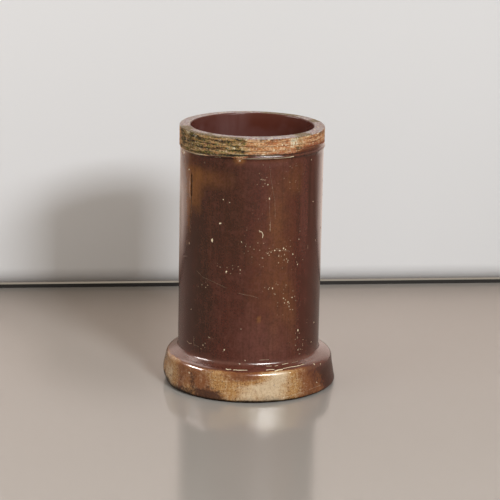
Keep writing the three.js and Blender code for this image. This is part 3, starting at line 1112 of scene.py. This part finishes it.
# The noises that shade the glaze and the clay: how much finer they are up the pipe than round it, how
# many of them go to a metre, their detail and their roughness.
NOISES = {
    "glaze clouds": (1, 18.0, 3.0, 0.55),
    "glaze mottle": (1, 48.0, 3.0, 0.60),
    "fine glaze": (1, 240.0, 3.0, 0.65),
    "glaze runs": (0.05, 70.0, 3.0, 0.6),
    "glaze streaks": (0.04, 190.0, 2.0, 0.5),
    "bore sheen": (1, 9.0, 3.0, 0.5),
    "uneven gloss": (1, 40.0, 3.0, 0.5),
    "thin clouds": (1, 110.0, 4.0, 0.62),
    "brushed round": (3, 60.0, 5.0, 0.7),
    "scored upright": (0.22, 210.0, 3.0, 0.6),
    "clay rings": (5, 38.0, 5.0, 0.68),
    "clay blotches": (1, 90.0, 4.0, 0.6),
    "clay mottle": (3.2, 58.0, 5.0, 0.7),
    "growth strokes": (6.0, 33.0, 4.0, 0.66),
    "algae": (1, 130.0, 4.0, 0.7),
    "rim film": (1, 85.0, 5.0, 0.7),
    "rim crust": (1, 70.0, 5.0, 0.7),
    "rim grit": (1, 260.0, 3.0, 0.6),
    "orange peel": (1, 74.8, 3.0, 0.5),
}

# The masks whose edges are broken: how many of the breaks go to a metre, how deep they go and how soft
# the edge is.
BROKEN = {
    "bare": (240.0, 0.6, 0.12),
    "chip_and_highlight": (700.0, 0.45, 0.35),
    "dirt_and_shade": (180.0, 0.5, 0.35),
    "stain_and_shade": (150.0, 1.8, 0.32),
    "lichen": (185.0, 2.6, 0.14),
}

# The scale of the bare clay's grain, and how much of the height of the bump the orange peel and the
# grain make up.
CLAY_GRAIN = 420.0
PEEL, GRAIN = 0.08, 0.7
# Roughness of the fired glaze, from its glossiest to its dullest places, and of what isn't glazed.
GLOSS = (0.13, 0.22)
ROUGHNESS = {"inside": 0.24, "bare": 0.85, "rim": 0.62, "chip_and_highlight": 0.7}


class MaterialWiring(Wiring):
    """The wiring of one material, over the pipe's own coordinates."""

    def __init__(self, name):
        self.material = bpy.data.materials.new(name)
        self.material.use_nodes = True
        super().__init__(self.material.node_tree)
        self.shader = self.tree.nodes["Principled BSDF"]
        self.where = self.tree.nodes.new("ShaderNodeTexCoord").outputs["Object"]

    def drawn(self, name):
        """One of the noises by name."""
        upright, scale, detail, roughness = NOISES[name]
        where = self.where if upright == 1 else self.stretched(self.where, upright)
        return self.noise(where, scale, detail, roughness)

    def specks(self, scale, size, share, upright=1):
        where = self.where if upright == 1 else self.stretched(self.where, upright)
        return self.use("Speckle", Vector=where, Scale=scale, Size=size, Share=share)["Mask"]

    def broken(self, mask):
        """An attribute's mask with a broken edge."""
        scale, ragged, softness = BROKEN[mask]
        return self.use(
            "Ragged edge", Vector=self.where, Mask=self.attribute(mask), Scale=scale, Ragged=ragged,
            Softness=softness,
        )["Mask"]

    def tinted(self, shade, *layers):
        """A shade with tints on it, each where a noise goes from a low to a high value."""
        for noise, low, high, share, tint in layers:
            shade = self.mix(self.span(noise, low, high, 0, share), shade, tint)
        return shade

    def laid(self, shade, *layers):
        """A shade with tints laid on it, each where a mask shows and by its share."""
        for mask, share, tint in layers:
            shade = self.mix(self.times(mask, share), shade, tint)
        return shade

    def gritty(self, shade, scale, dark, dark_share, light, light_share):
        """A shade with dark and light grains in it."""
        grit = self.use("Grit", Vector=self.where, Scale=scale)
        return self.laid(shade, (grit["Dark"], dark_share, dark), (grit["Light"], light_share, light))


def glaze_colour(wire, finish):
    """Fired glaze on the barrel: oxblood with umber, amber and mauve clouds, streaks and iron specks."""
    clouds = wire.span(wire.drawn("glaze clouds"), 0.25, 0.5, 0.7, 1.0)
    runs = wire.drawn("glaze runs")
    mottle = wire.drawn("glaze mottle")
    streaks = wire.drawn("glaze streaks")
    shade = wire.laid(
        finish.oxblood,
        (wire.attribute("umber"), clouds, finish.umber),
        (wire.attribute("mauve"), clouds, finish.mauve),
        (wire.attribute("amber"), clouds, finish.amber),
    )
    shade = wire.tinted(
        shade,
        (runs, 0.5, 0.8, 0.09, finish.rust),
        (runs, 0.5, 0.2, 0.16, finish.umber),
        (wire.drawn("fine glaze"), 0.45, 0.75, 0.04, finish.rust),
        (mottle, 0.50, 0.72, 0.30, finish.mauve),
        (mottle, 0.50, 0.30, 0.32, finish.umber),
        (streaks, 0.52, 0.70, 0.14, finish.mauve),
        (streaks, 0.48, 0.30, 0.26, finish.umber),
    )
    shade = wire.gritty(shade, 200.0, finish.umber, 0.30, finish.mauve, 0.19)
    return wire.laid(
        shade,
        (wire.specks(330.0, 0.32, 0.25), 0.4, finish.soot_and_shade),
        (wire.specks(215.0, 0.40, 0.11), wire.attribute("dust"), finish.cream),
        (wire.attribute("film"), 0.55, finish.rust),
    ), runs


def bore_colour(wire, finish, runs):
    """The hazy, streaked glaze of the bore."""
    painted_sheen = wire.span(wire.drawn("bore sheen"), 0.42, 0.66, 0, 0.30)
    streaky = wire.times(wire.attribute("painted_sheen"), wire.span(runs, 0.25, 0.65, 0.6, 0.95))
    hazy = wire.mix(0.16, tuple(finish.mauve), tuple(finish.rim))
    return wire.mix(wire.most(painted_sheen, streaky), finish.bore, hazy)


def thin_colour(wire, finish, thick):
    """Glaze on the socket, from the barrel's colour through rust and straw to cream, and its thinness."""
    depth = wire.swayed(wire.attribute("thin"), wire.drawn("thin clouds"), 0.28)
    shade = wire.tinted(
        thick,
        (depth, 0.12, 0.34, 1.0, finish.rust),
        (depth, 0.34, 0.62, 1.0, finish.straw),
        (depth, 0.66, 0.94, 1.0, finish.cream),
    )
    grit = wire.use("Grit", Vector=wire.where, Scale=240.0)
    shown = wire.times(wire.span(depth, 0.2, 0.5), wire.span(depth, 1.0, 0.7, 0.4, 1.0))
    brushed, scored = wire.drawn("brushed round"), wire.drawn("scored upright")
    shade = wire.laid(
        shade,
        (wire.span(brushed, 0.48, 0.34, 0, 0.36), shown, finish.rust),
        (wire.span(brushed, 0.52, 0.68, 0, 0.45), shown, finish.cream),
        (wire.times(grit["Dark"], 0.45), shown, finish.rust),
        (wire.times(grit["Light"], 0.20), shown, finish.cream),
        (wire.span(scored, 0.50, 0.34, 0, 0.30), shown, finish.rust),
        (wire.span(scored, 0.52, 0.68, 0, 0.25), shown, finish.cream),
    )
    tea, tea_thinning = wire.span(depth, 0.25, 0.5, 0, 0.60), wire.span(depth, 1.0, 0.66, 0.1, 0.85)
    iron, iron_thinning = wire.span(depth, 0.25, 0.5, 0, 0.85), wire.span(depth, 0.95, 0.7, 0.25, 1.0)
    shade = wire.laid(
        shade,
        (wire.times(wire.specks(270.0, 0.5, 0.5), tea), tea_thinning, finish.rust),
        (wire.times(wire.specks(240.0, 0.42, 0.20), iron), iron_thinning, finish.umber),
    )
    return shade, depth


def clay_colour(wire, finish):
    """Bare clay of the spigot and the socket's inside, with its film of glaze, growth and dirt."""
    grain = wire.use("Clay grain", Vector=wire.where, Scale=CLAY_GRAIN)
    rings, blotch, mottle = (wire.drawn("clay " + name) for name in ("rings", "blotches", "mottle"))
    shade = wire.laid(
        finish.clay, (wire.attribute("red"), wire.span(blotch, 0.3, 0.6), finish.pink_clay)
    )
    shade = wire.tinted(
        shade,
        (rings, 0.53, 0.62, 0.66, finish.cream),
        (rings, 0.47, 0.37, 0.80, finish.film),
        (mottle, 0.49, 0.38, 0.60, finish.film),
        (mottle, 0.53, 0.64, 0.50, finish.cream),
    )
    shade = wire.gritty(shade, 210.0, finish.film, 0.40, finish.chip_and_highlight, 0.30)
    shade = wire.tinted(shade, (grain["Shade"], 0.54, 0.70, 0.45, finish.cream))
    shade = wire.laid(
        shade, (wire.attribute("film"), wire.span(blotch, 0.25, 0.55, 0.35, 1.0), finish.film)
    )
    moss = wire.attribute("moss")
    shade = overgrown(wire, finish, shade, wire.swayed(wire.swayed(moss, rings, 1.1), blotch, 0.8))
    # The grooves are painted darker, more where moss grows.
    deep = wire.times(wire.attribute("groove"), wire.span(mottle, 0.58, 0.46, 0.12, 1.0))
    shade = wire.laid(
        shade,
        (wire.specks(130.0, 0.50, 0.20, 2), 0.70, finish.cream),
        (wire.specks(150.0, 0.50, 0.22, 2), 0.66, finish.soot_and_shade),
        (wire.broken("lichen"), 0.9, finish.lichen),
        (deep, wire.maths("MULTIPLY_ADD", moss, 0.4, 0.55), finish.soot_and_shade),
    )
    return shade, grain["Height"]


def overgrown(wire, finish, shade, patchy):
    """Clay with moss, dark and pale strokes round the pipe, algae and flecks where growth has taken hold."""
    held = wire.span(patchy, 0.3, 0.6)
    strokes = wire.drawn("growth strokes")
    grit = wire.use("Grit", Vector=wire.stretched(wire.where, 1.4), Scale=200.0)
    crust = wire.mix(0.35, tuple(finish.straw), tuple(finish.cream))
    shade = wire.tinted(shade, (patchy, 0.42, 0.72, 0.70, finish.moss))
    return wire.laid(
        shade,
        (wire.span(strokes, 0.485, 0.445), held, finish.soot_and_shade),
        (wire.span(strokes, 0.52, 0.57, 0, 0.85), held, crust),
        (wire.span(wire.drawn("algae"), 0.48, 0.62, 0, 0.75), wire.span(patchy, 0.4, 0.7), finish.algae),
        (grit["Light"], wire.span(patchy, 0.3, 0.6, 0, 0.46), finish.straw),
        (grit["Dark"], wire.span(patchy, 0.3, 0.6, 0, 0.65), finish.soot_and_shade),
    )


def rim_colour(wire, finish):
    """Thin grey glaze on the end of the spigot, with film, crust, grit and moss on it."""
    shade = wire.tinted(
        finish.rim,
        (wire.drawn("rim film"), 0.50, 0.62, 0.42, finish.film),
        (wire.drawn("rim crust"), 0.53, 0.62, 0.5, finish.lichen),
    )
    shade = wire.gritty(shade, 200.0, finish.film, 0.65, finish.chip_and_highlight, 0.6)
    moss = wire.span(wire.attribute("moss"), 0.22, 0.45, 0, 0.9)
    grit = wire.span(wire.drawn("rim grit"), 0.40, 0.58, 0.55, 1.0)
    return wire.laid(
        shade, (wire.specks(150.0, 0.5, 0.3), 0.55, finish.film), (moss, grit, finish.moss)
    )


def orange_peel(wire):
    """The dimpled skin of salt glaze, as a height."""
    dimples = wire.cells(wire.where, 340.0, "SMOOTH_F1")["Distance"]
    return wire.maths("ADD", wire.times(dimples, 0.6), wire.drawn("orange peel"))


def bumped(wire, peel, grain, bare, rim):
    """The normal, with orange peel where there is glaze and grain where there is none."""
    skin = wire.times(peel, wire.maths("MULTIPLY_ADD", bare, -PEEL, PEEL))
    height = wire.maths("MULTIPLY_ADD", grain, wire.times(wire.most(bare, rim), GRAIN), skin)
    return wire.node("ShaderNodeBump", Height=height, Strength=0.8, Distance=1.2 * MM).outputs["Normal"]


def stoneware(finish):
    """Salt-glazed stoneware, with its bare, thin, chipped and overgrown places."""
    wire = MaterialWiring("salt_glazed_stoneware")
    inputs = wire.shader.inputs
    inside, rim = wire.attribute("inside"), wire.attribute("rim")
    bare, chip_and_highlight, dirt_and_shade, stain_and_shade = (wire.broken(mask) for mask in ("bare", "chip_and_highlight", "dirt_and_shade", "stain_and_shade"))

    barrel, runs = glaze_colour(wire, finish)
    thick = wire.mix(inside, barrel, bore_colour(wire, finish, runs))
    glaze, depth = thin_colour(wire, finish, thick)
    clay, grain = clay_colour(wire, finish)
    shade = wire.mix(rim, wire.mix(bare, glaze, clay), rim_colour(wire, finish))
    # Stains and dark marks, with the painted contact shadow along the foot.
    shade = wire.laid(
        shade, (stain_and_shade, 0.85, wire.mix(bare, finish.umber, finish.soot_and_shade)), (dirt_and_shade, 0.92, finish.soot_and_shade)
    )
    # Chips and pale marks; some strokes on the glaze's lip and the shoulder are painted highlight.
    wire.put(inputs["Base Color"], wire.mix(chip_and_highlight, shade, finish.chip_and_highlight))

    gloss = wire.span(wire.drawn("uneven gloss"), 0.3, 0.7, *GLOSS, "LINEAR")
    gloss = wire.maths("ADD", gloss, wire.times(depth, 0.06), clamp=True)
    parts = {"inside": inside, "bare": bare, "rim": rim, "chip_and_highlight": chip_and_highlight}
    rough = (wire.times(mask, ROUGHNESS[part]) for part, mask in parts.items())
    wire.put(inputs["Roughness"], wire.most(gloss, *rough))
    for name, value in (
        ("IOR", 1.45), ("Specular IOR Level", 0.25), ("Coat IOR", 1.68), ("Coat Roughness", 0.17),
    ):
        inputs[name].default_value = value
    matt = wire.most(
        bare, rim, chip_and_highlight, wire.times(inside, 0.45), wire.times(wire.attribute("umber"), 0.25),
        wire.attribute("dull"), dirt_and_shade, wire.span(depth, 0.45, 0.95, 0, 0.55),
    )
    wire.put(inputs["Coat Weight"], wire.maths("SUBTRACT", 1, matt, clamp=True))

    peel = orange_peel(wire)
    wire.put(inputs["Normal"], bumped(wire, peel, grain, bare, rim))
    # The coat's normal is the same one, drawn again in plain nodes because no shared group may feed it.
    _, grain = clay_grain(wire, wire.where, CLAY_GRAIN)
    (bare,) = ragged_edge(wire, wire.where, wire.attribute("bare"), *BROKEN["bare"])
    wire.put(inputs["Coat Normal"], bumped(wire, peel, grain, bare, rim))
    return wire.material


# Where the wall fades towards its far shade: from this height down, and from this place to the left, where
# the fading goes from half to the whole.
LOW_WALL = (0.19, 0)
LEFT_WALL, LEFT_SHARE = (0.2, -0.4), (0.5, 1)


def plain_ground(name, seen, unseen, roughness, far=None, fade=None):
    """Plain paint or screed: one shade to the camera, another to the light that it throws back.

    Where it throws light back from far aside or from low down, it may fade to a third shade.
    """
    wire = MaterialWiring(name)
    by_camera = wire.node("ShaderNodeLightPath").outputs["Is Camera Ray"]
    unseen = tuple(unseen)
    if far is not None:
        place = wire.node("ShaderNodeSeparateXYZ", Vector=wire.where).outputs
        aside = wire.span(wire.maths("ABSOLUTE", place["X"]), *fade)
        leftward = wire.span(place["X"], *LEFT_WALL, *LEFT_SHARE)
        low = wire.times(wire.span(place["Z"], *LOW_WALL), leftward)
        unseen = wire.mix(wire.most(aside, low), unseen, tuple(far))
    wire.put(wire.shader.inputs["Base Color"], wire.mix(by_camera, unseen, tuple(seen)))
    wire.put(wire.shader.inputs["Roughness"], wire.maths("MULTIPLY_ADD", by_camera, roughness - 1, 1))
    return wire


# ---------------------------------------------------------------------------
# Studio
# ---------------------------------------------------------------------------

SENSOR_WIDTH = 36
CLIP = (0.1, 50)
FLOOR_REACH = 9
FLOOR_ROUGHNESS, FLOOR_IOR, WALL_ROUGHNESS = 0.13, 1.98, 0.9
CURL_ANGLE, CURL_STEPS = math.radians(58), 12
GAP_BEHIND = 8 * MM

# Lamps aim at the pipe's middle, but for one that only glances off the shoulder at the left.
MIDDLE, SHOULDER = (0, 0, 0.35), (-0.14, -0.14, 0.085)
Lamp = namedtuple("Lamp", "name place target width tall power tint unseen_by")
LAMPS = (
    Lamp("key_softbox", (2.863, -5.273, 3.3), MIDDLE, 1.3, 0.95, 330, (0.96, 0.98, 1), ("glossy",)),
    Lamp("glint_softbox", (2.863, -5.273, 4.6), MIDDLE, 2.6, 1.7, 600, (1, 1, 1), ("diffuse",)),
    Lamp("glow_softbox", (2.863, -5.273, 4.6), MIDDLE, 5.6, 1.7, 320, (1, 1, 1), ("diffuse",)),
    Lamp("fill_softbox", (-2.6, -1.6, 1.6), MIDDLE, 2, 1.6, 30, (1, 1, 1), ("glossy",)),
    Lamp("side_softbox", (-2.7, 0.2, 2.05), MIDDLE, 2.1, 0.5, 104, (1, 0.93, 0.9), ("diffuse",)),
    Lamp(
        "shoulder_softbox", (-0.62, 0.7, 1.05), SHOULDER, 0.55, 0.85, 1.8, (1, 0.84, 0.78),
        ("diffuse", "camera"),
    ),
)


def put_in_scene(name, data):
    made = bpy.data.objects.new(name, data)
    bpy.context.scene.collection.objects.link(made)
    return made


def panel(name, left, right, profile, material):
    """A sheet whose profile, from the foot up, runs from left to right."""
    corners = [(x, y, z) for y, z in profile for x in (left, right)]
    faces = [(2 * k, 2 * k + 1, 2 * k + 3, 2 * k + 2) for k in range(len(profile) - 1)]
    mesh = bpy.data.meshes.new(name)
    mesh.from_pydata(corners, [], faces)
    mesh.materials.append(material)
    mesh.shade_smooth()
    sheet = put_in_scene(name, mesh)
    return sheet


def floor(studio):
    """A plain floor with a soft mirror image in it."""
    wire = plain_ground("floor_paint", studio.floor, studio.floor_unseen, FLOOR_ROUGHNESS)
    wire.shader.inputs["IOR"].default_value = FLOOR_IOR
    panel("floor", -FLOOR_REACH, FLOOR_REACH, [(-FLOOR_REACH, 0), (FLOOR_REACH, 0)], wire.material)


def backdrop(studio):
    """A pale wall whose foot curls back over a dark gap. It is clear from behind."""
    back, lift, curl = studio.wall_distance, studio.wall_lift, studio.wall_curl
    turns = [CURL_ANGLE * (1 - k / CURL_STEPS) for k in range(CURL_STEPS + 1)]
    profile = [
        (back + curl * (1 - math.cos(a)), lift + curl * (math.sin(CURL_ANGLE) - math.sin(a))) for a in turns
    ]
    profile.append((back, studio.wall_height))
    # A dark sheet in the gap under the wall: painted shade.
    gap = [(back + GAP_BEHIND, 0), (back + GAP_BEHIND, lift)]
    fade = (studio.wall_fade * 0.5, studio.wall_fade)
    for name, paint, unseen, far, rows in (
        ("wall", studio.wall, studio.wall_unseen, studio.wall_far, profile),
        ("wall_gap_shade", studio.gap, studio.gap, None, gap),
    ):
        wire = plain_ground(name + "_paint", paint, unseen, WALL_ROUGHNESS, far, fade)
        behind = wire.node("ShaderNodeNewGeometry").outputs["Backfacing"]
        both = wire.either(behind, wire.shader, wire.node("ShaderNodeBsdfTransparent"))
        wire.put(wire.tree.nodes["Material Output"].inputs["Surface"], both)
        sheet = panel(name, -studio.wall_left, studio.wall_right, rows, wire.material)
        sheet.rotation_euler.z = studio.wall_turn


def softbox(lamp):
    """A rectangular lamp that some rays don't see."""
    data = bpy.data.lights.new(lamp.name, "AREA")
    data.shape, data.size, data.size_y = "RECTANGLE", lamp.width, lamp.tall
    data.energy, data.color = lamp.power, lamp.tint
    made = put_in_scene(lamp.name, data)
    made.location = lamp.place
    aim = Vector(lamp.target) - Vector(lamp.place)
    made.rotation_euler = aim.to_track_quat("-Z", "Y").to_euler()
    for ray in lamp.unseen_by:
        setattr(made, "visible_" + ray, False)


def studio_air(studio):
    """A world that lights softly and that the camera sees as a pale colour."""
    world = bpy.data.worlds.new("studio_air")
    world.use_nodes = True
    wire = Wiring(world.node_tree)
    ambient = wire.tree.nodes["Background"]
    wire.put(ambient.inputs["Color"], tuple(studio.ambient_tint))
    wire.put(ambient.inputs["Strength"], studio.ambient)
    seen = wire.node("ShaderNodeBackground", Color=tuple(studio.air), Strength=1.0)
    by_camera = wire.node("ShaderNodeLightPath").outputs["Is Camera Ray"]
    wire.put(wire.tree.nodes["World Output"].inputs["Surface"], wire.either(by_camera, ambient, seen))
    return world


def studio_camera(studio):
    """A camera in front of the pipe that looks down and leans a little."""
    down, lean = studio.camera_pitch, studio.camera_roll
    ahead = Vector((0, math.cos(down), -math.sin(down)))
    level = Vector((1, 0, 0))
    above = level.cross(ahead)
    right = level * math.cos(lean) + above * math.sin(lean)
    up = above * math.cos(lean) - level * math.sin(lean)
    data = bpy.data.cameras.new("studio_camera")
    data.sensor_width, data.lens = SENSOR_WIDTH, studio.focal_length
    data.clip_start, data.clip_end = CLIP
    camera = put_in_scene("studio_camera", data)
    turn = Matrix((right, up, -ahead)).transposed().to_4x4()
    camera.matrix_world = Matrix.Translation((0, -studio.camera_distance, studio.camera_height)) @ turn
    bpy.context.scene.camera = camera


# ---------------------------------------------------------------------------
# Operators
# ---------------------------------------------------------------------------


class DRAINPIPE_OT_studio(bpy.types.Operator):
    """Build the floor, the wall, the lamps and the camera"""

    bl_idname = "drainpipe.studio"
    bl_label = "Set the studio"

    def execute(self, context):
        scene = context.scene
        studio = scene.pipe_studio
        floor(studio)
        backdrop(studio)
        for lamp in LAMPS:
            softbox(lamp)
        scene.world = studio_air(studio)
        scene.view_settings.view_transform = "Standard"
        studio_camera(studio)
        return {"FINISHED"}


class DRAINPIPE_OT_fire(bpy.types.Operator):
    """Build the fired pipe with its glaze, grooves, pits and wear"""

    bl_idname = "drainpipe.fire"
    bl_label = "Fire the pipe"

    def execute(self, context):
        scene = context.scene
        mesh = fired_pipe(scene.pipe_shape, scene.pipe_wear)
        mesh.materials.append(stoneware(scene.pipe_finish))
        pipe = put_in_scene("fired_pipe", mesh)
        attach(pipe, "root")
        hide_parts("drain_pipe")
        return {"FINISHED"}


class DRAINPIPE_PT_sidebar(bpy.types.Panel):
    """Sidebar panel that lists the pipe's settings and its makers"""

    bl_idname = "DRAINPIPE_PT_sidebar"
    bl_label = "Drain Pipe"
    bl_space_type = "VIEW_3D"
    bl_region_type = "UI"
    bl_category = "Drain Pipe"

    def draw(self, context):
        for maker in MAKERS:
            self.layout.operator(maker.bl_idname)
        for name in SETTINGS:
            box = self.layout.box()
            settings = getattr(context.scene, name)
            for key in settings.__annotations__:
                box.prop(settings, key)


MAKERS = (DRAINPIPE_OT_studio, DRAINPIPE_OT_fire)
SETTINGS = {
    "pipe_shape": PipeShape,
    "pipe_finish": PipeFinish,
    "pipe_wear": PipeWear,
    "pipe_studio": Studio,
}
CLASSES = (*SETTINGS.values(), *MAKERS, DRAINPIPE_PT_sidebar)


def register():
    for made in CLASSES:
        bpy.utils.register_class(made)
    for name, settings in SETTINGS.items():
        setattr(bpy.types.Scene, name, PointerProperty(type=settings))


def unregister():
    for name in SETTINGS:
        delattr(bpy.types.Scene, name)
    for made in reversed(CLASSES):
        bpy.utils.unregister_class(made)


def main():
    register()
    bpy.ops.drainpipe.studio()
    bpy.ops.drainpipe.fire()


if __name__ == "__main__":
    main()
